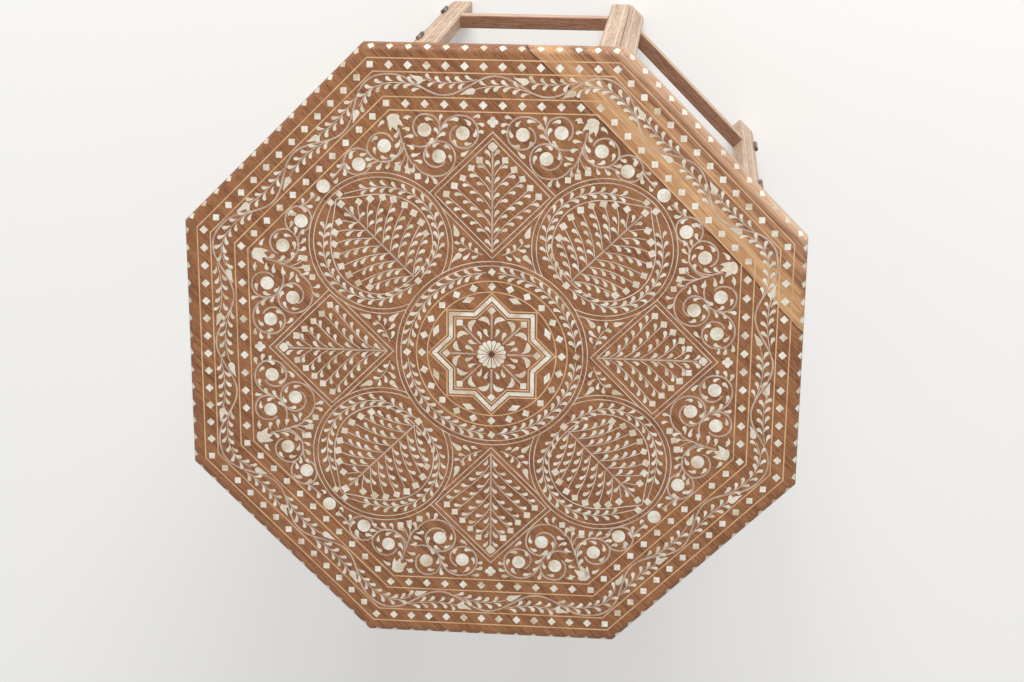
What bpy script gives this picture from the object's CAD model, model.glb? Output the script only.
# %% [markdown]
# # An inlaid octagonal side table
# The table is a loose wooden top on a ring of eight hinged panels. Nearly all of its
# character lies in the top: some two thousand small leaves, squares and flowers of bone,
# with thin metal stems, are let into the wood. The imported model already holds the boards,
# the base, the hinges and the larger inlay. This lesson gives them their finish, and
# lays the leaves and stems that are too small to be worth a solid of their own.

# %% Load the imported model
import math
import random

import bmesh
import bpy
from mathutils import Matrix, Vector
from mathutils.geometry import interpolate_bezier


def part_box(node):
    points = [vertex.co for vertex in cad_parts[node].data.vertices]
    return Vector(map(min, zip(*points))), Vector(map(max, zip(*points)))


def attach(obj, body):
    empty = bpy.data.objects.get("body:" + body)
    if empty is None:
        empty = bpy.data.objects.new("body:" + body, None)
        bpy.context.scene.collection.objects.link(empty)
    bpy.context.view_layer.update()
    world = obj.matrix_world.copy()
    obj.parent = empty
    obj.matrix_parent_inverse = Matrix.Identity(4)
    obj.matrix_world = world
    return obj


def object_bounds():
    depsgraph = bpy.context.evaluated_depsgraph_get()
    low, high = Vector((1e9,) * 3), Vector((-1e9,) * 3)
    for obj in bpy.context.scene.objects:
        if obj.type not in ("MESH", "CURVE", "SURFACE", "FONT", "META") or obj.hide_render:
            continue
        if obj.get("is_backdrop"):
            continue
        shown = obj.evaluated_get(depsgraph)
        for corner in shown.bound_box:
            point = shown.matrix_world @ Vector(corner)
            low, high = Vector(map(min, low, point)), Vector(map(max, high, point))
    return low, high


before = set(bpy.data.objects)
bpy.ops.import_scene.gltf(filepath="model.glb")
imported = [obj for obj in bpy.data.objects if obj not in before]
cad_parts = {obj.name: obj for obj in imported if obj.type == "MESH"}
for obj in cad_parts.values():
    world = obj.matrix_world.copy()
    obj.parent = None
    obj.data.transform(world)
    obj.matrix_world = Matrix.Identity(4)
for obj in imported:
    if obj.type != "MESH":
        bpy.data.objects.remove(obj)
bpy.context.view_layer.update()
MM = 0.001
EIGHTH = 45.0
chance = random.Random(7)

# %% [markdown]
# ## Sizes read from the model
# The height of the surface, the half width and the outermost line are read from the
# packed boards. They could be typed in again, but then they might stop matching. The
# pattern is drawn in millimetres, because a craftsman would mark it out that way, and is
# scaled to metres when a piece is finished.

# %% Sizes of the top
HALF_LINE = 0.6
top_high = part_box("top_board_middle")[1]
surface = top_high.z
half_top = top_high.y / MM
outer_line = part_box("line_inlay")[1].y / MM - HALF_LINE
print("half width", round(half_top, 2), "middle of the outer line", round(outer_line, 2))

# %% [markdown]
# ## Camera
# The photograph looks down on the top from a little beyond one side, with a long lens.
# Where the camera stood was worked out from the eight corners of the outermost line.
# A camera could track an empty instead, but its own axes, worked out from where it
# stands and what it aims at, need no constraint. The picture is turned half a degree,
# which the roll repeats.

# %% Camera
CAMERA_PLACE = Vector((0.185, 0.5865, 2.497))
CAMERA_AIM = Vector((0.0202, 0.0145, 0.618))
CAMERA_ROLL = 0.49
LENS = 70.2
SENSOR = 36.0
SIGHT = 20.0


def add_camera():
    """A camera whose picture has the table's +Y side up."""
    data = bpy.data.cameras.new("camera")
    data.sensor_width = SENSOR
    data.lens = LENS
    data.clip_end = SIGHT
    ahead = (CAMERA_AIM - CAMERA_PLACE).normalized()
    right = ahead.cross(Vector((0, 1, 0))).normalized()
    up = right.cross(ahead)
    axes = Matrix((right, up, -ahead)).transposed().to_4x4()
    camera = bpy.data.objects.new("camera", data)
    camera.matrix_world = (
        Matrix.Translation(CAMERA_PLACE) @ axes @ Matrix.Rotation(math.radians(CAMERA_ROLL), 4, "Z")
    )
    bpy.context.scene.collection.objects.link(camera)
    bpy.context.scene.camera = camera
    return camera


camera = add_camera()
print("camera", [round(value, 3) for value in camera.matrix_world.translation])

# %% [markdown]
# ## Colours
# A shader wants linear values, but nobody can see from a linear value how it will look.
# So colours are written as they look on a screen, from 0 to 255, and a helper turns
# them into linear ones.

# %% Colours
WHITE = (1, 1, 1, 1)
BLACK = (0, 0, 0, 1)


def colour(red, green, blue):
    """A screen colour as linear red, green, blue and alpha."""

    def linear(value):
        share = value / 255.0
        return share / 12.92 if share <= 0.04045 else ((share + 0.055) / 1.055) ** 2.4

    return linear(red), linear(green), linear(blue), 1.0


print("middle grey of the screen as a linear value", round(colour(128, 128, 128)[0], 3))

# %% [markdown]
# ## Nodes
# A material could be built by hand in the shader editor. Here it is built in the same
# way, but can be repeated: one helper adds a node and sets or links its inputs, and the
# others put a few nodes together to a ramp, a blend or a noise. An input is found by
# its name, or by its number where several inputs share a name.


# %% Nodes
def new_material(name, roughness, metallic=0.0):
    """A material with a Principled shader, and that shader."""
    material = bpy.data.materials.new(name)
    material.use_nodes = True
    shader = material.node_tree.nodes["Principled BSDF"]
    shader.inputs["Roughness"].default_value = roughness
    shader.inputs["Metallic"].default_value = metallic
    return material, shader


def add_node(material, kind, inputs=None, **settings):
    """A node of the kind, with its inputs set to values or linked to outputs."""
    node = material.node_tree.nodes.new("ShaderNode" + kind)
    for name, value in settings.items():
        setattr(node, name, value)
    for name, value in (inputs or {}).items():
        if isinstance(value, bpy.types.NodeSocket):
            material.node_tree.links.new(value, node.inputs[name])
        else:
            node.inputs[name].default_value = value
    return node


def ramp(material, source, stops):
    """A colour ramp over a value, from (place, colour) stops."""
    node = add_node(material, "ValToRGB", {"Fac": source})
    band = node.color_ramp
    while len(band.elements) < len(stops):
        band.elements.new(0.5)
    for element, (place, tint) in zip(band.elements, stops):
        element.position = place
        element.color = tint
    return node.outputs["Color"]


def mix_colours(material, share, first, second, how="MIX"):
    """Two colours blended by a share. The colour inputs of the node are 6 and 7."""
    colours = {0: share, 6: first, 7: second}
    return add_node(material, "Mix", colours, data_type="RGBA", blend_type=how).outputs[2]


def use_colour(material, shader, tint):
    """Links a colour to the shader."""
    material.node_tree.links.new(tint, shader.inputs["Base Color"])


def use_bump(material, shader, height, distance):
    """Links a height to the shader's normal. The distance is its depth in metres."""
    bump = add_node(material, "Bump", {"Height": height, "Distance": distance})
    material.node_tree.links.new(bump.outputs["Normal"], shader.inputs["Normal"])


def plain_noise(material, scale, detail=2.0):
    """Noise without a direction, in patches per metre."""
    where = add_node(material, "TexCoord").outputs["Object"]
    noise = add_node(material, "TexNoise", {"Vector": where, "Scale": scale, "Detail": detail})
    return noise.outputs["Fac"]


def facing_up(material):
    """How far a face looks up: 1 on top, 0 on upright faces and -1 underneath."""
    normal = add_node(material, "TexCoord").outputs["Normal"]
    return add_node(material, "SeparateXYZ", {"Vector": normal}).outputs["Z"]


print("node helpers", [helper.__name__ for helper in (add_node, ramp, mix_colours, plain_noise)])

# %% [markdown]
# ## Wood
# The wood looks like sheesham or mango with a dull wax finish: warm brown, with streaks
# along the grain and short dark pores. A plain noise has no direction, so the noise is
# stretched along the grain: a Mapping node turns the pattern until its X axis runs along
# the board, and then the pattern is scaled much less along X than across. The
# coordinates are the object's own, so the grain never slides on the boards.


# %% Wood
def grain_space(material, turn):
    """Coordinates with X along the grain. The turn is in degrees, about X, Y and Z."""
    where = add_node(material, "TexCoord").outputs["Object"]
    angles = [math.radians(angle) for angle in turn]
    return add_node(material, "Mapping", {"Vector": where, "Rotation": angles}).outputs["Vector"]


def stretched_noise(material, along, scale, detail, rough, twist=0.0):
    """Noise whose patches are stretched along the grain, in patches per metre."""
    spread = add_node(material, "Mapping", {"Vector": along, "Scale": scale}).outputs["Vector"]
    return add_node(material, "TexNoise", {
        "Vector": spread, "Scale": 1.0, "Detail": detail, "Roughness": rough, "Distortion": twist,
    }).outputs["Fac"]


BROAD_STREAKS = (5, 85, 85)
FINE_STREAKS = (30, 620, 620)
PORES = (170, 1500, 1500)
FINE_SHARE = 0.62
PORE_DEPTH = 0.00008


def wood(name, pale, mid, dark, turn):
    """Waxed wood with broad and fine streaks, and short dark pores."""
    material, shader = new_material(name, 0.5)
    along = grain_space(material, turn)
    broad = stretched_noise(material, along, BROAD_STREAKS, 3.0, 0.6, 0.2)
    fine = stretched_noise(material, along, FINE_STREAKS, 4.0, 0.7)
    streaks = add_node(material, "Mix", {"Factor": FINE_SHARE, 2: broad, 3: fine}).outputs[0]
    tint = ramp(material, streaks, [(0.39, dark), (0.5, mid), (0.61, pale)])
    pores = stretched_noise(material, along, PORES, 2.0, 0.6)
    pore_mask = ramp(material, pores, [(0.36, WHITE), (0.46, BLACK)])
    in_pores = mix_colours(material, 0.5, tint, dark, "MULTIPLY")
    tint = mix_colours(material, pore_mask, tint, in_pores)
    use_colour(material, shader, tint)
    use_bump(material, shader, pores, PORE_DEPTH)
    shader.inputs["Specular IOR Level"].default_value = 0.35
    return material, shader, tint, along, streaks


GRAIN_OF_TOP = (0, 0, EIGHTH)
BROWN_PALE = colour(165, 115, 76)
BROWN_MID = colour(147, 98, 63)
BROWN_DARK = colour(117, 74, 46)
top_wood = wood("top_wood", BROWN_PALE, BROWN_MID, BROWN_DARK, GRAIN_OF_TOP)
print("wood of the top", top_wood[0].name)

# %% [markdown]
# ## The two glued boards of the top
# The maker glued a narrower board to each of two opposite sides. One of them is mostly
# pale golden sapwood. It starts at a dark ragged line, which bows a little and lies
# just inside the glued seam, so the middle board is painted by the same rule. The wood
# turns brown and streaky further out, and is pale again at the rim. A painted image
# could show this, but in grain space Y is simply the distance across the boards, and a
# ramp over Y, shifted by stretched noise, puts each colour in its place.


# %% Sapwood
def across_boards(material, along, ragged_by, bow):
    """Distance across the grain, in metres, with ragged edges and a bow along the board."""
    place = add_node(material, "SeparateXYZ", {"Vector": along})
    ragged = stretched_noise(material, along, (12, 90, 90), 4.0, 0.65)
    shift = add_node(material, "MapRange", {
        "Value": ragged, "From Min": 0.3, "From Max": 0.7, "To Min": -ragged_by, "To Max": ragged_by,
    }, clamp=False).outputs["Result"]
    x, y = place.outputs["X"], place.outputs["Y"]
    square = add_node(material, "Math", {0: x, 1: x}, operation="MULTIPLY").outputs[0]
    bowed = add_node(material, "Math", {0: square, 1: bow, 2: y}, operation="MULTIPLY_ADD").outputs[0]
    return add_node(material, "Math", {0: bowed, 1: shift}, operation="ADD").outputs[0]


def banded(wood_parts, start, end, bands, ragged_by=0.0004, bow=0.0):
    """Paints bands of colour across the grain between two distances, in metres."""
    material, shader, tint, along, streaks = wood_parts
    place = add_node(material, "MapRange", {
        "Value": across_boards(material, along, ragged_by, bow), "From Min": start, "From Max": end,
    }).outputs["Result"]
    painted = ramp(material, place, [((at - start) / (end - start), shade) for at, shade in bands])
    grain = ramp(material, streaks, [(0.4, (0.12, 0.12, 0.12, 1)), (0.6, (0.88, 0.88, 0.88, 1))])
    painted = mix_colours(material, 0.75, painted, grain, "SOFT_LIGHT")
    inside = ramp(material, place, [(0.0, BLACK), (0.008, WHITE), (0.992, WHITE), (1.0, BLACK)])
    use_colour(material, shader, mix_colours(material, inside, tint, painted))


JOINT = colour(88, 52, 34)
SAPWOOD = colour(192, 146, 103)
SAPWOOD_START = 0.2396
SAPWOOD_END = 0.3196
SAPWOOD_BANDS = [
    (SAPWOOD_START, BROWN_MID), (0.2401, JOINT), (0.2410, JOINT), (0.2419, colour(178, 132, 92)),
    (0.2470, SAPWOOD), (0.2625, colour(188, 142, 101)), (0.2675, colour(168, 122, 86)),
    (0.2710, colour(136, 92, 64)), (0.2735, colour(158, 113, 80)), (0.2765, colour(134, 90, 62)),
    (0.2800, colour(164, 118, 84)), (0.2840, colour(184, 139, 101)), (0.2880, colour(140, 96, 67)),
    (0.2905, colour(164, 119, 87)), (0.2935, colour(150, 106, 78)), (0.2990, colour(180, 141, 110)),
    (0.3060, colour(196, 160, 132)),
]
SAPWOOD_RAGGED = 0.0016
SAPWOOD_BOW = 0.09
light_wood = wood("top_wood_light", BROWN_PALE, BROWN_MID, BROWN_DARK, GRAIN_OF_TOP)
for parts in (light_wood, top_wood):
    banded(parts, SAPWOOD_START, SAPWOOD_END, SAPWOOD_BANDS, SAPWOOD_RAGGED, SAPWOOD_BOW)
dark_wood = wood("top_wood_dark", BROWN_PALE, colour(151, 101, 67), BROWN_DARK, GRAIN_OF_TOP)
DARK_SEAM = -0.245
GLUE = 0.0007
banded(dark_wood, DARK_SEAM - GLUE, DARK_SEAM + 0.004, [(DARK_SEAM - GLUE, JOINT), (DARK_SEAM, JOINT)])
print("boards of the top", light_wood[0].name, dark_wood[0].name)

# %% [markdown]
# ## Wood of the base
# The posts stand upright and their grain runs up them, so their pattern is tipped until
# X points up. Each rail lies along its own side of the octagon, and its grain must run
# along it. A rail can't be turned, because it keeps its place in the shared frame, so
# there is one rail finish for each direction. The outer faces of the rails are rubbed
# as pale as the posts, while their upper faces have stayed dark.

# %% Wood of the base
UPRIGHT = (0, 90, 0)


def rail_wood(turn):
    """Dark wood with rubbed, pale outer faces, and grain along a rail."""
    material, shader, tint, _, streaks = wood(
        f"rail_wood_{turn}", colour(158, 118, 94), colour(136, 98, 76), colour(108, 76, 58),
        (0, 0, EIGHTH * turn))
    rubbed = ramp(material, streaks, [(0.4, colour(186, 148, 120)), (0.6, colour(228, 198, 172))])
    level = add_node(material, "Math", {0: facing_up(material)}, operation="ABSOLUTE").outputs[0]
    upright = ramp(material, level, [(0.2, WHITE), (0.8, BLACK)])
    use_colour(material, shader, mix_colours(material, upright, tint, rubbed))
    return material


post_wood = wood(
    "post_wood", colour(218, 192, 166), colour(200, 170, 144), colour(170, 136, 112), UPRIGHT)[0]
arch_wood = wood(
    "arch_wood", colour(210, 174, 144), colour(190, 152, 122), colour(156, 116, 90), UPRIGHT)[0]
rail_woods = [rail_wood(turn) for turn in range(4)]
print("rail finishes", [material.name for material in rail_woods])

# %% [markdown]
# ## Bone and metal lines
# The white pieces are bone: cream, never quite alike, and a few have gone beige. A
# material for every tone would be a long list, so each piece carries a tone of its own
# in an attribute, and one material reads it. The lines of the border are a warm straw
# colour, and the stems and rings are a dull pale metal.


# %% Bone and metal lines
def dark_joint(material, tint):
    """Darkens the sloping sides of a laid piece, where wax and dust fill its joint."""
    share = ramp(material, facing_up(material), [(0.9965, WHITE), (0.9995, BLACK)])
    return mix_colours(material, share, tint, JOINT)


def bone(name, use_tone, shade):
    """Polished bone. Pieces without a tone of their own take one from a coarse noise."""
    material, shader = new_material(name, 0.42)
    if use_tone:
        tone = add_node(material, "Attribute", attribute_name="tone").outputs["Fac"]
    else:
        clouds = plain_noise(material, 60.0, 0.0)
        spread = add_node(material, "MapRange", {"Value": clouds, "From Min": 0.3, "From Max": 0.62})
        tone = spread.outputs["Result"]
    tint = ramp(material, tone, [
        (0.0, colour(208, 192, 167)), (0.16, colour(217, 206, 186)), (0.4, colour(226, 219, 204)),
        (0.75, colour(232, 226, 212)), (1.0, colour(240, 236, 226)),
    ])
    mottle = plain_noise(material, 420.0)
    dull = ramp(material, mottle, [(0.35, colour(222, 216, 204)), (0.65, WHITE)])
    tint = mix_colours(material, 0.6, tint, dull, "MULTIPLY")
    tint = mix_colours(material, 1.0, tint, shade, "MULTIPLY")
    use_colour(material, shader, dark_joint(material, tint) if use_tone else tint)
    use_bump(material, shader, mottle, 0.00004)
    return material


def metal_line(name, bright, dull, metallic, roughness, joint=True):
    """Thin inlaid metal, brighter and duller along its length, with a dark joint or none."""
    material, shader = new_material(name, roughness, metallic)
    worn = plain_noise(material, 70.0, 3.0)
    tint = ramp(material, worn, [(0.35, dull), (0.6, bright)])
    use_colour(material, shader, dark_joint(material, tint) if joint else tint)
    use_bump(material, shader, worn, 0.00003)
    return material


piece_bone = bone("piece_bone", True, colour(250, 246, 241))
node_bone = bone("node_bone", False, WHITE)
straw_line = metal_line("straw_line", colour(216, 179, 136), colour(194, 153, 111), 0.1, 0.45)
pale_line = metal_line("pale_line", colour(219, 204, 188), colour(188, 168, 150), 0.1, 0.45)
print("finishes", [material.name for material in (piece_bone, node_bone, straw_line, pale_line)])

# %% [markdown]
# ## Iron and dark wax
# The hinges are blackened iron that use has rubbed brighter in patches. One dark grey
# would look like paint, so a noise picks the patches, and the shader stays mostly
# metallic. Dark wax fills the small hollow in the heart of the middle flower.


# %% Iron and dark wax
def worn_iron(name):
    """Blackened iron, rubbed brighter in patches."""
    material, shader = new_material(name, 0.42, 0.75)
    worn = plain_noise(material, 160.0, 4.0)
    tint = ramp(material, worn, [
        (0.38, colour(78, 62, 52)), (0.52, colour(124, 110, 98)), (0.66, colour(170, 158, 146)),
    ])
    use_colour(material, shader, tint)
    use_bump(material, shader, worn, 0.00005)
    return material


def dark_filler(name):
    """Dark wax with paler spots."""
    material, shader = new_material(name, 0.6)
    spots = plain_noise(material, 500.0)
    tint = ramp(material, spots, [(0.4, colour(70, 44, 30)), (0.6, colour(98, 66, 46))])
    use_colour(material, shader, tint)
    return material


iron = worn_iron("blackened_iron")
filler = dark_filler("dark_filler")
print("finishes", iron.name, filler.name)

# %% [markdown]
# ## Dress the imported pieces
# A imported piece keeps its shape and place, and only its material changes. The panels
# follow each other round the octagon, so a panel's number gives its rail's direction,
# and one loop dresses all eight.

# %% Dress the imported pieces
PANELS = range(1, 9)


def dress(node, material):
    """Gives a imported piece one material."""
    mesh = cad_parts[node].data
    mesh.materials.clear()
    mesh.materials.append(material)


for n in PANELS:
    dress(f"post_outside_hinge_{n}", post_wood)
    dress(f"post_inside_hinge_{n}", post_wood)
    dress(f"arch_board_{n}", arch_wood)
    dress(f"rail_{n}", rail_woods[(n - 1) % 4])
    dress(f"hinge_leaves_{n}", iron)
    dress(f"hinge_screws_{n}", iron)
for n in PANELS[::2]:
    dress(f"hinge_pins_{n}", iron)
top_finishes = {
    "top_board_middle": top_wood[0], "top_board_light": light_wood[0], "top_board_dark": dark_wood[0],
    "line_inlay": straw_line, "pale_line_inlay": pale_line,
    "star_inlay": node_bone, "square_inlay": node_bone, "flower_inlay": node_bone,
}
for node, material in top_finishes.items():
    dress(node, material)
print("dressed the base, and on the top", list(top_finishes))

# %% [markdown]
# ## Stamps for the inlay
# A craftsman saws each leaf from a thin slip of bone. Every leaf could be modelled by
# itself, but there are over a thousand, so one is shaped once and stamped wherever it
# is wanted. A stamp starts as a disc whose outline is bent by a function, and the flat
# shape is then raised into a thin plate. Pieces are drawn flat, in millimetres, round
# the middle of the table.

# %% Stamps
SUNK = 0.03
PROUD = 0.035


def outward(shape):
    """For each corner of a flat shape's outline, the direction out of the shape."""
    shape.normal_update()
    ways = {}
    for edge in shape.edges:
        if edge.is_boundary:
            loop = edge.link_loops[0]
            along = loop.link_loop_next.vert.co - loop.vert.co
            out = Vector((along.y, -along.x, 0)).normalized() * loop.face.normal.z
            for vert in edge.verts:
                ways[vert] = ways.get(vert, Vector()) + out
    return ways


def raise_plate(shape, flare, top=PROUD):
    """Turns a flat shape into a thin plate. Its sides slope outward into the wood."""
    ways = outward(shape)
    made = bmesh.ops.extrude_face_region(shape, geom=shape.faces[:], use_keep_orig=True)
    lifted = [item for item in made["geom"] if isinstance(item, bmesh.types.BMVert)]
    bmesh.ops.translate(shape, verts=lifted, vec=(0, 0, top))
    for vert, way in ways.items():
        vert.co += way.normalized() * flare - Vector((0, 0, SUNK))
    bmesh.ops.recalc_face_normals(shape, faces=shape.faces)
    return shape


def disc_stamp(corners, flare, bend):
    """A disc one unit across, whose outline is bent by a function, as a plate."""
    shape = bmesh.new()
    bmesh.ops.create_circle(shape, cap_ends=True, segments=corners, radius=0.5)
    for vert in shape.verts:
        vert.co.x, vert.co.y = bend(vert.co.x, vert.co.y)
    return raise_plate(shape, flare)


print("a plate stands", PROUD, "mm proud of the wood and", SUNK, "mm in it")

# %% [markdown]
# ## Shapes of the stamps
# A leaf is a disc drawn out along a curved middle line: a profile gives the half width
# on each side of that line, from the thin tail to the round head. A traced outline
# would do as well, but a profile needs few corners, which counts for a shape that is
# repeated over a thousand times. Squares and dots are discs as they are.


# %% Shapes of the stamps
def drawn(fat, curl, profile):
    """Draws a disc out to a leaf of length 1 and width 1. Fat is the real width over length."""

    def bend(x, y):
        share = x + 0.5
        slope = curl * (2 * share - 1)
        half = math.copysign(fat / 2 * profile(share), y) / math.hypot(1, slope)
        return share - slope * half, (curl * share * (share - 1) + half) / fat

    return bend


def round_head(fat, neck, point):
    """Profile of a leaf with a round head. The neck is in head radii behind its centre."""
    radius = fat / 2
    place = 1 - radius * (1 + neck)

    def profile(share):
        if share >= place:
            return math.sqrt(max(0.0, 1 - ((share - 1) / radius + 1) ** 2))
        return math.sqrt(1 - neck ** 2) * (max(share, 0.0) / place) ** point

    return profile


def pointed(share):
    """Profile of a large leaf that is pointed at both ends."""
    return math.sin(math.pi * min(1.0, max(0.0, share)) ** 1.3) ** 0.8


def four_petals(x, y):
    """Draws a disc in between its four petals."""
    pull = 0.76 + 0.24 * abs(math.cos(2 * math.atan2(y, x)))
    return x * pull, y * pull


leaf_shape = disc_stamp(16, 0.055, drawn(0.45, 0.6, round_head(0.45, 0.55, 1.1)))
bud_shape = disc_stamp(18, 0.024, drawn(0.46, 0.22, round_head(0.46, 0.1, 1.0)))
arched_shape = disc_stamp(22, 0.024, drawn(0.38, 1.12, pointed))
square_shape = disc_stamp(4, 0.022, lambda x, y: (x, y))
cross_shape = disc_stamp(20, 0.02, four_petals)
dot_shape = disc_stamp(16, 0.02, lambda x, y: (x, y))
print("faces of a leaf", len(leaf_shape.faces))

# %% [markdown]
# ## Laying pieces
# A layer is a bmesh that collects pieces. Adding to a large bmesh with many operators
# is slow, so every stamp is placed in a small copy and then poured into the layer.


# %% Laying pieces
def flat(x, y):
    """A point of the pattern."""
    return Vector((x, y, 0.0))


def turned(point, degrees):
    """A point turned counterclockwise round the middle."""
    return Matrix.Rotation(math.radians(degrees), 3, "Z") @ point


scratch = bpy.data.meshes.new("scratch")


def pour(layer, shape):
    """Adds a small bmesh to a layer and frees it."""
    shape.to_mesh(scratch)
    layer.from_mesh(scratch)
    shape.free()


def stamp(layer, shape, place, angle, length, width):
    """Lays a copy of a stamp with its origin at a place. The angle is in radians."""
    piece = shape.copy()
    sized = Matrix.Diagonal((length, width, 1, 1))
    put = Matrix.Translation(place) @ Matrix.Rotation(angle, 4, "Z") @ sized
    bmesh.ops.transform(piece, matrix=put, verts=piece.verts)
    pour(layer, piece)


def leaf(layer, tail, head, width, side=1, shape=leaf_shape):
    """Lays a leaf from its tail to its head. The side says which way it curls."""
    run = head - tail
    stamp(layer, shape, tail, math.atan2(run.y, run.x), run.length, side * width)


def tile(layer, place, across, turn):
    """Lays a square tile, standing on its corner until it is turned."""
    stamp(layer, square_shape, place, math.radians(turn), across, across)


print("a point on X, turned by an eighth:", [round(value, 3) for value in turned(flat(1, 0), EIGHTH)])

# %% [markdown]
# ## Stems
# The stems are thin strips of metal on edge, mostly in pairs. A curve object with a
# bevel would be round, so a strip is swept instead: one short edge across the stem is
# extruded from point to point of its path, and the flat ribbon is then raised like the
# leaves. Paths are arcs and smooth curves through a few points.

# %% Stems
STRIP = 0.54
PAIR = 0.9
STEM_TOP = 0.02
STEM_FLARE = 0.13
CURVE_STEPS = 7


def smooth_path(points):
    """A smooth curve through all the points."""
    longer = [2 * points[0] - points[1]] + points + [2 * points[-1] - points[-2]]
    path = [points[0]]
    for before, start, end, after in zip(longer, longer[1:], longer[2:], longer[3:]):
        leave, arrive = start + (end - before) / 6, end - (after - start) / 6
        path += interpolate_bezier(start, leave, arrive, end, CURVE_STEPS)[1:]
    return path


def curve(*places):
    """A smooth curve through places that are written as x, y."""
    return smooth_path([flat(*place) for place in places])


def spiral_path(centre, radii, start, sweep, steps=34):
    """A spiral round a centre, whose radius passes evenly through the radii. Angles in degrees."""
    path = []
    for step in range(steps + 1):
        share = step / steps * (len(radii) - 1)
        index = min(int(share), len(radii) - 2)
        radius = radii[index] + (radii[index + 1] - radii[index]) * (share - index)
        path.append(centre + turned(flat(radius, 0), start + sweep * step / steps))
    return path


def directions(path):
    """The direction of a path at each of its points."""
    ends = zip([path[0]] + path[:-1], path[1:] + [path[-1]])
    return [(after - before).normalized() for before, after in ends]


def left_of(way):
    """The direction a quarter turn to the left."""
    return Vector((-way.y, way.x, 0))


def beside(path, distance):
    """A path moved to its left by a distance."""
    return [point + left_of(way) * distance for point, way in zip(path, directions(path))]


def lay_strip(layer, path, width=STRIP):
    """Sweeps a thin strip along a path."""
    shape = bmesh.new()
    sides = list(zip(beside(path, -width / 2), beside(path, width / 2)))
    edge = shape.edges.new([shape.verts.new(point) for point in sides[0]])
    for here, ahead in zip(sides, sides[1:]):
        made = bmesh.ops.extrude_edge_only(shape, edges=[edge])["geom"]
        edge = next(item for item in made if isinstance(item, bmesh.types.BMEdge))
        for vert in edge.verts:
            vert.co = min(zip(here, ahead), key=lambda pair: (pair[0] - vert.co).length)[1]
    pour(layer, raise_plate(shape, STEM_FLARE, STEM_TOP))


def lay_stem(layer, path):
    """Lays the two strips of a stem side by side."""
    for side in (-1, 1):
        lay_strip(layer, beside(path, side * PAIR / 2))


print("points on a curve through three:", len(curve((0, 0), (5, 3), (9, 0))))

# %% [markdown]
# ## Leaves along a stem
# The leaves could be placed one by one, but all the sprays grow by one rule: at even
# steps a leaf springs from each side of the stem and leans forward. The rule needs only
# the stem, the step and the lean. The small unevenness of hand work comes later, when
# every piece is shifted a little.


# %% Leaves along a stem
def walk(path, first, step, count):
    """Places and directions along a path, at even steps of its length."""
    found, wanted, gone = [], first, 0.0
    for start, end in zip(path, path[1:]):
        length = (end - start).length
        while wanted <= gone + length and len(found) < count:
            found.append((start.lerp(end, (wanted - gone) / length), (end - start).normalized()))
            wanted += step
        gone += length
    return found


def leaves_along(layer, path, first, step, count, sides=(1, -1), length=9.0, width=4.0, lean=36):
    """Lays leaves a millimetre beside a stem, leaning forward by an angle in degrees."""
    for place, way in walk(path, first, step, count):
        for side in sides:
            tail = place + left_of(way) * side
            leaf(layer, tail, tail + turned(way, side * lean) * length, width, side)


print("places on a line of 30 mm:", len(walk([flat(0, 0), flat(30, 0)], 5, 10, 9)))

# %% [markdown]
# ## Finishing a layer
# A layer is copied round the table, then every piece gets a tone of its own and a small
# shift and turn, because no two pieces of hand work match. An array modifier would
# repeat them exactly. The draws are seeded and the pieces are taken in the order they
# were laid, so every run gives the same table. Last, the layer becomes one object in
# metres, lying on the table.

# %% Finishing a layer
LIFT = 0.008
SIZES = (0.92, 1.07)


def all_of(layer):
    """All that a layer holds."""
    return layer.verts[:] + layer.edges[:] + layer.faces[:]


def copy_round(layer, times, mirrored=False):
    """Mirrors what a layer holds across the Y axis if asked, and repeats it round the middle."""
    if mirrored:
        twin = bmesh.ops.duplicate(layer, geom=all_of(layer))["geom"]
        verts = [item for item in twin if isinstance(item, bmesh.types.BMVert)]
        faces = [item for item in twin if isinstance(item, bmesh.types.BMFace)]
        bmesh.ops.scale(layer, verts=verts, vec=(-1, 1, 1))
        bmesh.ops.reverse_faces(layer, faces=faces)
    bmesh.ops.spin(
        layer, geom=all_of(layer), cent=(0, 0, 0), axis=(0, 0, 1),
        angle=math.tau * (times - 1) / times, steps=times - 1, use_duplicate=True, use_merge=False,
    )


def islands(layer):
    """The separate pieces of a layer, as lists of vertices, in the order they were laid."""
    found = set()
    for first in layer.verts:
        if first in found:
            continue
        found.add(first)
        piece = [first]
        for vert in piece:
            for edge in vert.link_edges:
                other = edge.other_vert(vert)
                if other not in found:
                    found.add(other)
                    piece.append(other)
        yield piece


def unevenness(layer, shift, turn):
    """Gives each piece its own tone, and moves and turns it a little, in mm and degrees."""
    tone = layer.verts.layers.float.new("tone")
    count = 0
    for piece in islands(layer):
        count += 1
        centre = sum((vert.co for vert in piece), Vector()) / len(piece)
        move = Vector((chance.gauss(0, shift), chance.gauss(0, shift), 0))
        spin = Matrix.Rotation(math.radians(chance.gauss(0, turn)), 3, "Z") * chance.uniform(*SIZES)
        lift = chance.uniform(-LIFT, LIFT)
        level = min(1.0, max(0.0, chance.gauss(0.6, 0.27)))
        for vert in piece:
            height = vert.co.z + lift
            if shift:
                vert.co = centre + move + spin @ (vert.co - centre)
            vert.co.z = height
            vert[tone] = level
    return count


def make_object(layer, name, material, place):
    """Makes a layer an object in metres, moved or turned to its place."""
    bmesh.ops.transform(layer, matrix=place @ Matrix.Scale(MM, 4), verts=layer.verts)
    mesh = bpy.data.meshes.new(name)
    layer.to_mesh(mesh)
    layer.free()
    mesh.materials.append(material)
    piece = bpy.data.objects.new(name, mesh)
    bpy.context.scene.collection.objects.link(piece)
    return piece


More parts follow.
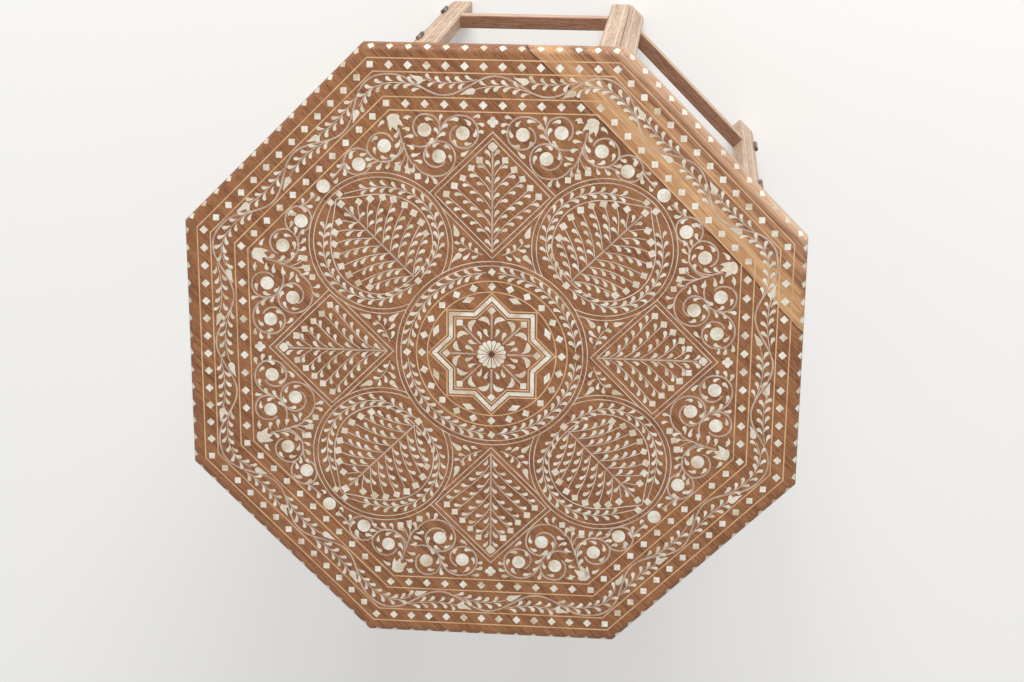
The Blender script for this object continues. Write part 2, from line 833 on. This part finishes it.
def finish_layer(layer, name, material, shift=0.35, turn=5.0):
    """Makes a layer an object that lies on the table and rides on it."""
    count = unevenness(layer, shift, turn)
    piece = make_object(layer, name, material, Matrix.Translation((0, 0, surface)))
    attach(piece, "tabletop")
    print(name, count, "pieces,", len(piece.data.polygons), "faces")


print("a piece moves up or down by up to", LIFT, "mm, and its size varies between", SIZES)

# %% [markdown]
# ## The border vine
# Between the two bands of squares a vine swings to and fro and runs right round the
# table. On each side it has crests at the middle and near the corners, and two troughs.
# The vine could be traced point by point, but a wave needs only its two heights and its
# length. A leafy spray with a large bud at its end fills each swing. All sprays point
# the same way round. One side is drawn and repeated eight times.

# %% Border vine
CREST = outer_line - 15.2
TROUGH = outer_line - 34.6
HALF_WAVE = 50.0
PHASE = 2.5
SPRAY_STRIP = 0.68


def vine_height(x):
    """Height of the vine over a side, as a wave."""
    return (CREST + TROUGH) / 2 + (CREST - TROUGH) / 2 * math.cos(math.pi * (x - PHASE) / HALF_WAVE)


def vine_path():
    """The vine over one side and round the corner to the next side, clockwise."""
    side = [flat(x + PHASE, vine_height(x + PHASE)) for x in range(-100, 101, 5)]
    corner = flat(CREST * math.tan(math.radians(EIGHTH / 2)), CREST)
    after = turned(side[0], -EIGHTH)
    leave, arrive = side[-1].lerp(corner, 0.75), after.lerp(corner, 0.75)
    bend = interpolate_bezier(side[-1], leave, arrive, after, 8)
    return side + bend[1:]


def lay_border():
    """Stems, leaves and buds of the border."""
    stems, leaves, buds = bmesh.new(), bmesh.new(), bmesh.new()
    lay_stem(stems, vine_path())
    middle = curve((37, 260.6), (28, 264.2), (14, 267), (0, 267), (-12, 265), (-18, 263))
    sprays = [(middle, 0.5, 5, 12.0, 4)]
    leaf(buds, flat(-32, 257.6), flat(-17.6, 262.4), 6.4, -1, bud_shape)
    for trough in (PHASE - HALF_WAVE, PHASE + HALF_WAVE):
        upper = curve((trough + 32, 273), (trough + 20, 270.6), (trough + 3, 269.6),
                      (trough - 10, 270.6), (trough - 19, 272.8))
        sprays.append((upper, 10.5, 5, 2.5, 5))
        leaf(buds, flat(trough - 33.5, 276.4), flat(trough - 19, 272.4), 6.4, 1, bud_shape)
    corner = [flat(-66, 263), flat(-80, 267.8), flat(-98, 268.4)]
    corner += [turned(flat(x, y), EIGHTH) for x, y in ((109.5, 265.6), (97, 268.6), (82, 264.4))]
    sprays.append((smooth_path(corner), 3.0, 8, 10.0, 6))
    tail, head = turned(flat(64.6, 257.4), EIGHTH), turned(flat(78.8, 261.8), EIGHTH)
    leaf(buds, tail, head, 6.4, -1, bud_shape)
    for path, inner_start, inner_count, outer_start, outer_count in sprays:
        lay_strip(stems, path, SPRAY_STRIP)
        leaves_along(leaves, path, inner_start, 9.6, inner_count, (1,))
        leaves_along(leaves, path, outer_start, 10.0, outer_count, (-1,))
    for layer in (stems, leaves, buds):
        copy_round(layer, 8)
    finish_layer(stems, "border_stems", pale_line, shift=0)
    finish_layer(leaves, "border_leaves", piece_bone)
    finish_layer(buds, "border_buds", piece_bone)


lay_border()

# %% [markdown]
# ## The middle
# Eight double stems run from the petalled flower to the squares in the star's points,
# with two pairs of leaves beside each. Round the star's ring runs another leafy stem,
# parted by a square on each axis. All eight arms are alike, so one arm and a quarter of
# the ring are drawn and repeated.

# %% The middle
HEART = 5.8
LEAFY_RING = 83.6
RING_STRIP = 0.75


def lay_middle():
    """Stems and leaves inside the star, and the leafy ring round it."""
    stems, leaves, tiles, heart = (bmesh.new() for _ in range(4))
    lay_stem(stems, [flat(0, 15.3), flat(0, 28), flat(0, 40.4)])
    for side in (1, -1):
        leaf(leaves, flat(side * 2.2, 29.6), flat(side * 13.4, 35.0), 5.2, -side, arched_shape)
        leaf(leaves, flat(side * 2.2, 17.6), flat(side * 6.2, 26.2), 4.2, side)
    for layer in (stems, leaves):
        copy_round(layer, 8)
    stamp(heart, dot_shape, flat(0, 0), 0, HEART, HEART)
    finish_layer(heart, "flower_heart", filler, shift=0)
    finish_layer(stems, "star_stems", pale_line, shift=0)
    finish_layer(leaves, "star_leaves", piece_bone, 0.2, 2.0)
    stems, leaves = bmesh.new(), bmesh.new()
    ring = spiral_path(flat(0, 0), [LEAFY_RING, LEAFY_RING], 4, 82, 24)
    lay_strip(stems, ring, RING_STRIP)
    leaves_along(leaves, ring, 3.2, 9.7, 12, length=9.2, lean=35)
    tile(tiles, flat(0, LEAFY_RING + 0.6), 8.2, 12)
    for layer in (stems, leaves, tiles):
        copy_round(layer, 4)
    finish_layer(stems, "ring_stems", pale_line, shift=0)
    finish_layer(leaves, "ring_leaves", piece_bone)
    finish_layer(tiles, "ring_tiles", piece_bone, 0.2)


lay_middle()

# %% [markdown]
# ## The large lozenges
# Each of the four lozenges holds a small tree: a double trunk, five branches on each
# side that end in squares under the lozenge's upper edges, and a leaf wherever there
# is room. Its halves match, so half a tree is drawn, mirrored, and repeated on the four
# axes.

# %% Lozenges
TRUNK_FOOT = 104.5
TRUNK_TOP = 203.5
BRANCH_STRIP = 0.82
BRANCH_STEPS = 12
TWIG_STRIP = 0.8


def lay_lozenges():
    """Trees of the lozenges, and the sprays in the corners beside them."""
    stems, leaves, tiles, buds = (bmesh.new() for _ in range(4))
    lay_strip(stems, [flat(PAIR / 2, TRUNK_FOOT), flat(PAIR / 2, 150), flat(PAIR / 2, TRUNK_TOP)])
    for k, foot in enumerate((180, 164, 147.5, 131, 117)):
        end = flat(12.5 + 8.1 * k, 195.3 - 8.7 * k)
        start = flat(1.6, foot)
        run = end - start
        leave, arrive = start + flat(0.22, 0.42) * run.y, end - run * 0.35
        branch = interpolate_bezier(start, leave, arrive, end, BRANCH_STEPS)
        lay_strip(stems, branch, BRANCH_STRIP)
        tile(tiles, end, 8.6, 45 + 4 * (k % 3))
        leaves_along(leaves, branch, 8.5, 10.4, k + 1, sides=(-1,), length=8.6, lean=38)
    for foot in (198, 187.5, 171.5, 156, 139, 122.5, 109.5):
        leaf(leaves, flat(1.8, foot), flat(7.2, foot + 7), 3.9, -1)
    leaf(buds, flat(40, 92.3), flat(30.5, 101.5), 5.6, 1, bud_shape)
    leaf(buds, flat(38.3, 131.5), flat(34.5, 119.3), 5.8, 1, bud_shape)
    lay_strip(stems, curve((9.5, 101.4), (19, 105), (26.5, 109.5), (31, 115.5)), TWIG_STRIP)
    for tail, head in (
        ((12, 102.3), (16, 108.4)), ((20.5, 106), (20.3, 113.6)), ((27.5, 110.5), (27.3, 118.6)),
        ((29.5, 113), (37, 113.2)), ((25, 108), (33.3, 106.6)), ((13, 101.5), (20.5, 98)),
        ((21, 104), (28.6, 96.8)),
    ):
        leaf(leaves, flat(*tail), flat(*head), 3.8)
    for layer in (stems, leaves, tiles, buds):
        copy_round(layer, 4, mirrored=True)
    tops = bmesh.new()
    stamp(tops, cross_shape, flat(0, 208.5), 0, 9.4, 9.4)
    copy_round(tops, 4)
    finish_layer(tops, "lozenge_tops", piece_bone, 0.2)
    finish_layer(stems, "lozenge_stems", pale_line, shift=0)
    finish_layer(leaves, "lozenge_leaves", piece_bone)
    finish_layer(tiles, "lozenge_tiles", piece_bone, 0.3)
    finish_layer(buds, "corner_buds", piece_bone, 0.2, 2.0)


lay_lozenges()

# %% [markdown]
# ## The round medallions
# A medallion holds a wide tree inside a leaf-shaped outline, and a leafy vine climbs
# round it on both sides. It could be drawn where it lies, on a diagonal, but it is much
# easier to set out upright round its own centre. Then it is moved out to its place and
# turned onto the diagonals.

# %% Medallions
MEDALLION_OUT = 155.0
TREE_REACH = 45.8
OUTLINE_STRIP = 1.05
LEAF_STEP = 9.8


def lay_medallions():
    """Trees, outlines and vines of the medallions."""
    stems, leaves, tiles = (bmesh.new() for _ in range(3))
    lay_strip(stems, [flat(PAIR / 2, -46), flat(PAIR / 2, 0), flat(PAIR / 2, 50)])
    for k in range(8):
        start = flat(1.4, -44 + 10.6 * k)
        end = turned(flat(TREE_REACH, 0), -30.5 + 14.6 * k)
        run = end - start
        leave = start + flat(0.3, 0.26) * run.length
        arrive = end - flat(0.36, 0.12) * run.length
        branch = interpolate_bezier(start, leave, arrive, end, BRANCH_STEPS)
        lay_strip(stems, branch, BRANCH_STRIP)
        tile(tiles, end, 8.8, 40 + 14.6 * k)
        count = int((run.length - 1) / LEAF_STEP)
        leaves_along(leaves, branch, 0.8, LEAF_STEP, count, sides=(-1,), lean=35)
    leaf(leaves, flat(1.9, 37), flat(6, 45), 4.0, -1)
    outline = curve((0.6, -46.4), (17, -44.7), (33.5, -38.5), (46, -24), (51.8, -6),
                    (50.5, 10), (43, 25.5), (31, 38.6), (15, 50.4), (0.3, 61.2))
    lay_strip(stems, outline, OUTLINE_STRIP)
    vine = curve((3, -52.3), (19.8, -48.2), (38, -41.4), (51.5, -28), (58.6, -10),
                 (58.8, 8), (52.5, 25), (40.5, 39.6), (24, 51.4), (9.5, 59.8))
    lay_strip(stems, vine, BRANCH_STRIP)
    leaves_along(leaves, vine, 5.0, 9.9, 15, length=8.8, width=3.9, lean=33)
    tile(tiles, flat(6, 62.4), 8.2, 45)
    for layer in (stems, leaves, tiles):
        bmesh.ops.translate(layer, verts=layer.verts, vec=(0, MEDALLION_OUT, 0))
        copy_round(layer, 4, mirrored=True)
    lone = bmesh.new()
    tile(lone, flat(0, MEDALLION_OUT + 54.6), 9.2, 45)
    tile(lone, flat(0, MEDALLION_OUT - 51.8), 8.6, 45)
    copy_round(lone, 4)
    onto_diagonals = Matrix.Rotation(math.radians(EIGHTH), 3, "Z")
    for layer in (stems, leaves, tiles, lone):
        bmesh.ops.rotate(layer, verts=layer.verts, cent=(0, 0, 0), matrix=onto_diagonals)
    finish_layer(stems, "medallion_stems", pale_line, shift=0)
    finish_layer(leaves, "medallion_leaves", piece_bone)
    finish_layer(tiles, "medallion_tiles", piece_bone, 0.3)
    finish_layer(lone, "medallion_end_tiles", piece_bone, 0.2)


lay_medallions()

# %% [markdown]
# ## The flowers of the field
# Between the border and the large figures, stems curl about flat, round flowers and
# drop a leaf at each sixth or so of their turn. In every corner of the field a bud like
# a tulip holds the stems together. A curl could be traced too, but a spiral through a
# few radii keeps it smooth. One eighth is drawn, mirrored and repeated.

# %% Field
FLOWER_CURLS = (
    # centre, radii from outside in, start and sweep in degrees, angles of the leaves inside
    ((29, 221), (21.5, 17.5, 15.2, 14.8, 13.5, 9.0), 4, 408, (95, 155, 222, 285)),
    ((66.2, 223.3), (19, 14.5, 14.6, 16.4, 15.2, 11, 9), -49, -356, (-100, -160, -225)),
    ((52.2, 198), (25, 19.5, 16.5, 15.6, 14.2, 14.6, 11, 7.6), -18, -486, (-150, -205, -262, -325)),
    ((104.8, 207.4), (19, 15.8, 16.4, 17.6, 14.5, 11.4, 9.2), 171, 342, (250, 310, 370)),
    ((130.2, 188.6), (14.8, 15.2, 15.4, 15, 14, 11.4, 10, 10.6, 11.4), 134, -321, (78, 8)),
)
LOOSE_LEAVES = (
    ((49.5, 224), (43, 229)), ((16, 230.3), (8.2, 229)), ((15.2, 222), (8.4, 222)),
    ((19.2, 235.6), (11.6, 236.8)), ((50, 231), (49, 239)), ((42, 232), (33.2, 233.6)),
    ((52.4, 215.8), (45.4, 220)), ((24.6, 205.6), (31.6, 199.5)), ((87.4, 222.8), (79.6, 222.6)),
    ((85.6, 215.2), (76.4, 216)), ((83.4, 207), (75.4, 204.6)), ((69.6, 202), (78.8, 198.4)),
    ((76.4, 193), (68.4, 191.6)), ((59.6, 178.4), (55.6, 170.5)), ((63.8, 178), (66, 170.8)),
    ((77, 190), (79, 181.2)), ((91.8, 223.4), (95.4, 215.6)), ((90, 213.6), (94.6, 205.8)),
    ((91.2, 199.4), (99, 197.8)), ((89, 193), (95.6, 190)), ((83.6, 191), (85, 185.4)),
    ((110.6, 224.2), (103.6, 229.6)), ((101, 191.6), (103.6, 184.2)),
    ((108, 191.6), (113.4, 184.6)), ((122.4, 184), (117, 186.8)), ((115.6, 194.8), (124, 193.6)),
    ((121.8, 200.4), (129.6, 198)), ((138, 202), (138.6, 193.2)), ((146, 188.4), (152.8, 185.8)),
    ((146, 183.4), (144.6, 176)), ((152.6, 179.4), (159.2, 177)), ((151.6, 174.6), (155, 169.2)),
)
BUD_FOOT = (91, 224.5)
FAN = (83.4, 200.5)


def lay_field():
    """Curling stems, leaves, tulip buds and small tiles of the field."""
    stems, leaves, tiles, buds = (bmesh.new() for _ in range(4))
    for centre, radii, start, sweep, angles in FLOWER_CURLS:
        middle = flat(*centre)
        path = spiral_path(middle, radii, start, sweep)
        lay_stem(stems, path)
        way = 1 if sweep > 0 else -1
        for angle in angles:
            tail = middle + turned(flat(13.2, 0), angle)
            leaf(leaves, tail, middle + turned(flat(10.2, 0), angle + way * 40), 3.9, way)
    for tail, head in LOOSE_LEAVES:
        start, end = flat(*tail), flat(*head)
        leaf(leaves, start - (end - start) * 0.08, end, 4.1)
    lay_stem(stems, curve(BUD_FOOT, (88, 213), FAN, (79.4, 192), (76, 189)))
    for twig in (curve((88.6, 212), (89, 205.5), (92.4, 198.6), (98, 194)),
                 curve(FAN, (82.4, 193), (82.6, 186)), curve(FAN, (87.2, 192), (90.4, 187.5))):
        lay_strip(stems, twig, TWIG_STRIP)
    lay_stem(stems, curve((104, 191.6), (112, 191.4), (118, 189)))
    lay_stem(stems, curve((143.6, 189), (148.4, 182.6), (156.6, 173)))
    for place, turn in (((73, 178), 40), ((83, 182.6), 52), ((92.4, 185.6), 44)):
        tile(tiles, flat(*place), 8.4, turn)
    leaf(buds, flat(92, 221.6), flat(96, 238.6), 13.0, 1, bud_shape)
    leaf(buds, flat(85.8, 226), flat(96.4, 233), 8.0, -1, bud_shape)
    leaf(buds, flat(98.8, 221.2), flat(97, 233), 7.4, 1, bud_shape)
    leaf(leaves, flat(77.4, 235.4), flat(84.6, 234.4), 4.6, -1)
    leaf(leaves, flat(87.6, 233.2), flat(81, 234.6), 4.4, 1)
    for layer in (stems, leaves, tiles, buds):
        copy_round(layer, 4, mirrored=True)
    finish_layer(stems, "field_stems", pale_line, shift=0)
    finish_layer(leaves, "field_leaves", piece_bone)
    finish_layer(tiles, "field_tiles", piece_bone, 0.3)
    finish_layer(buds, "tulip_buds", piece_bone, 0.1, 1.0)


lay_field()

# %% [markdown]
# ## Squares on the rim
# The rounded edge of the top has a row of squares too. A flat tile would stand off at
# its corners, so each is bent over the rounding: a grid whose points are wrapped round
# the edge's own radius and then thickened.

# %% Rim squares
EDGE_RADIUS = 7.0
RIM_COUNT = 14
RIM_TILE_HALF = 2.7
RIM_TILE_ANGLE = math.radians(49.5)
RIM_TILE_DEPTH = 0.3
RIM_TILE_THICKNESS = 0.37


def lay_rim():
    """A row of bent tiles along the rounded edge of all eight sides."""
    layer = bmesh.new()
    side = 2 * half_top * math.tan(math.radians(EIGHTH / 2))
    for i in range(RIM_COUNT):
        shape = bmesh.new()
        bmesh.ops.create_grid(shape, x_segments=4, y_segments=4, size=RIM_TILE_HALF)
        turn = Matrix.Rotation(math.radians(45 + chance.gauss(0, 9)), 3, "Z")
        bmesh.ops.rotate(shape, verts=shape.verts, cent=(0, 0, 0), matrix=turn)
        for vert in shape.verts:
            angle = RIM_TILE_ANGLE - vert.co.y / EDGE_RADIUS
            radius = EDGE_RADIUS - RIM_TILE_DEPTH
            vert.co.y = half_top - EDGE_RADIUS + radius * math.cos(math.pi / 2 - angle)
            vert.co.z = -EDGE_RADIUS + radius * math.sin(math.pi / 2 - angle)
        place = side * ((i + 0.5) / RIM_COUNT - 0.5)
        bmesh.ops.translate(shape, verts=shape.verts, vec=(place, 0, 0))
        bmesh.ops.solidify(shape, geom=shape.faces[:], thickness=RIM_TILE_THICKNESS)
        bmesh.ops.recalc_face_normals(shape, faces=shape.faces)
        pour(layer, shape)
    copy_round(layer, 8)
    finish_layer(layer, "rim_tiles", node_bone, shift=0)


lay_rim()

# %% [markdown]
# ## Strings and dots on the posts
# Two pale strings run up the outer face of each post, with a small bone dot between
# them here and there. They could be painted in the wood's material, but thin blocks
# have real edges that catch the light. A panel folds on its hinges, so its strings and
# dots ride on it.

# %% Strings and dots on the posts
post_low, post_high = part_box("post_outside_hinge_1")
POST_FACE = post_high.y / MM
POST_EDGE = abs(post_low.x) / MM
POST_TOP = post_high.z / MM
STRING_PLACES = (POST_EDGE - 6.2, POST_EDGE - 18.8)
STRING_WIDTH = 0.9
STRING_LENGTH = POST_TOP - 8
DOT_PLACE = POST_EDGE - 12.5
DOT_HEIGHTS = (69, 202, 335, 468)
DOT = 3.4


def upright_block(layer, x, z, size_x, size_z, turn=0.0):
    """Adds a thin block let into the outer face of panel 1."""
    shape = bmesh.new()
    bmesh.ops.create_cube(shape, size=1.0)
    bmesh.ops.scale(shape, verts=shape.verts, vec=(size_x, SUNK + PROUD, size_z))
    bmesh.ops.rotate(shape, verts=shape.verts, cent=(0, 0, 0), matrix=Matrix.Rotation(turn, 3, "Y"))
    bmesh.ops.translate(shape, verts=shape.verts, vec=(x, POST_FACE + (PROUD - SUNK) / 2, z))
    pour(layer, shape)


def ride_panel(layer, name, material, n):
    """Turns a layer drawn on panel 1 to panel n, and makes it an object that rides there."""
    to_panel = Matrix.Rotation(math.radians(-EIGHTH * (n - 1)), 4, "Z")
    piece = make_object(layer, name, material, to_panel)
    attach(piece, f"panel_{n}")


post_string = metal_line(
    "post_string", colour(240, 218, 196), colour(226, 200, 176), 0.0, 0.5, joint=False)
for n in PANELS:
    strings, dots = bmesh.new(), bmesh.new()
    for side in (-1, 1):
        for place in STRING_PLACES:
            upright_block(strings, side * place, POST_TOP / 2, STRING_WIDTH, STRING_LENGTH)
        for height in DOT_HEIGHTS:
            upright_block(dots, side * DOT_PLACE, height, DOT, DOT, math.radians(45))
    ride_panel(strings, f"post_strings_{n}", post_string, n)
    ride_panel(dots, f"post_dots_{n}", node_bone, n)
print("strings and dots on each post", len(STRING_PLACES), len(DOT_HEIGHTS))

# %% [markdown]
# ## Floor
# The floor is plain and pale. Stronger lamps could make it as pale as it should be, but
# they would bleach the table too. So it glows faintly to the camera and in reflections,
# like a lit backdrop, and more so far out where the lamp doesn't reach. The glow never
# lights the table, and the soft shadow stays.

# %% Floor
PALE = colour(219, 218, 215)
FLOOR_HALF = 40.0
GLOW = 0.23
FAR_GLOW = 0.5
GLOW_GROWS = (1.6, 6.0)


def seen(owner, hidden, shown):
    """A value for the rays that light things, and another for what is seen directly or mirrored."""
    rays = add_node(owner, "LightPath").outputs
    kind = rays["Is Camera Ray"]
    for name in ("Is Glossy Ray", "Is Transmission Ray"):
        kind = add_node(owner, "Math", {0: kind, 1: rays[name]}, operation="MAXIMUM").outputs[0]
    level = add_node(owner, "MapRange", {"Value": kind, "To Min": hidden, "To Max": shown})
    return level.outputs["Result"]


def floor_finish():
    """A pale material whose glow only the camera and reflections see."""
    material, shader = new_material("floor", 0.9)
    shader.inputs["Base Color"].default_value = PALE
    shader.inputs["Emission Color"].default_value = WHITE
    where = add_node(material, "TexCoord").outputs["Object"]
    away = add_node(material, "VectorMath", {"Vector": where}, operation="LENGTH").outputs["Value"]
    glow = add_node(material, "MapRange", {
        "Value": away, "From Min": GLOW_GROWS[0], "From Max": GLOW_GROWS[1],
        "To Min": GLOW, "To Max": FAR_GLOW,
    }, interpolation_type="SMOOTHSTEP").outputs["Result"]
    material.node_tree.links.new(seen(material, 0.0, glow), shader.inputs["Emission Strength"])
    return material


shape = bmesh.new()
bmesh.ops.create_grid(shape, x_segments=1, y_segments=1, size=FLOOR_HALF / MM)
floor = make_object(shape, "floor", floor_finish(), Matrix.Identity(4))
floor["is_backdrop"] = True
print("floor", [round(size, 1) for size in floor.dimensions])

# %% [markdown]
# ## Light
# A wide soft lamp high on the +Y side gives the gentle light of the photograph, and an
# even sky fills the rest. The sky is seen almost white, but lights the table less than
# that, or the shadows of the legs would fade away.

# %% Light
KEY_PLACE = Vector((0.3, 2.7, 2.3))
KEY_AIM = Vector((0, 0, 0.5))
KEY_SIZE = 1.8
KEY_POWER = 95
SKY = 0.55
SKY_SEEN = 0.95


def add_lamp():
    """A square soft lamp that faces the table."""
    data = bpy.data.lights.new("key", "AREA")
    data.size = KEY_SIZE
    data.energy = KEY_POWER
    lamp = bpy.data.objects.new("key", data)
    lamp.location = KEY_PLACE
    lamp.rotation_euler = (KEY_AIM - KEY_PLACE).to_track_quat("-Z", "Y").to_euler()
    bpy.context.scene.collection.objects.link(lamp)


def add_sky():
    """An even sky."""
    world = bpy.data.worlds.new("sky")
    bpy.context.scene.world = world
    world.use_nodes = True
    sky = world.node_tree.nodes["Background"]
    sky.inputs["Color"].default_value = WHITE
    world.node_tree.links.new(seen(world, SKY, SKY_SEEN), sky.inputs["Strength"])


add_lamp()
add_sky()
bpy.context.scene.view_settings.view_transform = "Standard"
print("lamp", KEY_POWER, "W, sky", SKY)

# %% [markdown]
# ## Check the size and finish
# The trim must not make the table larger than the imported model, and that is easiest to
# see when both boxes are written down side by side.

# %% Finish
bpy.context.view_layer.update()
low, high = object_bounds()
print("size with the trim, in mm", [round(side / MM, 2) for side in high - low])
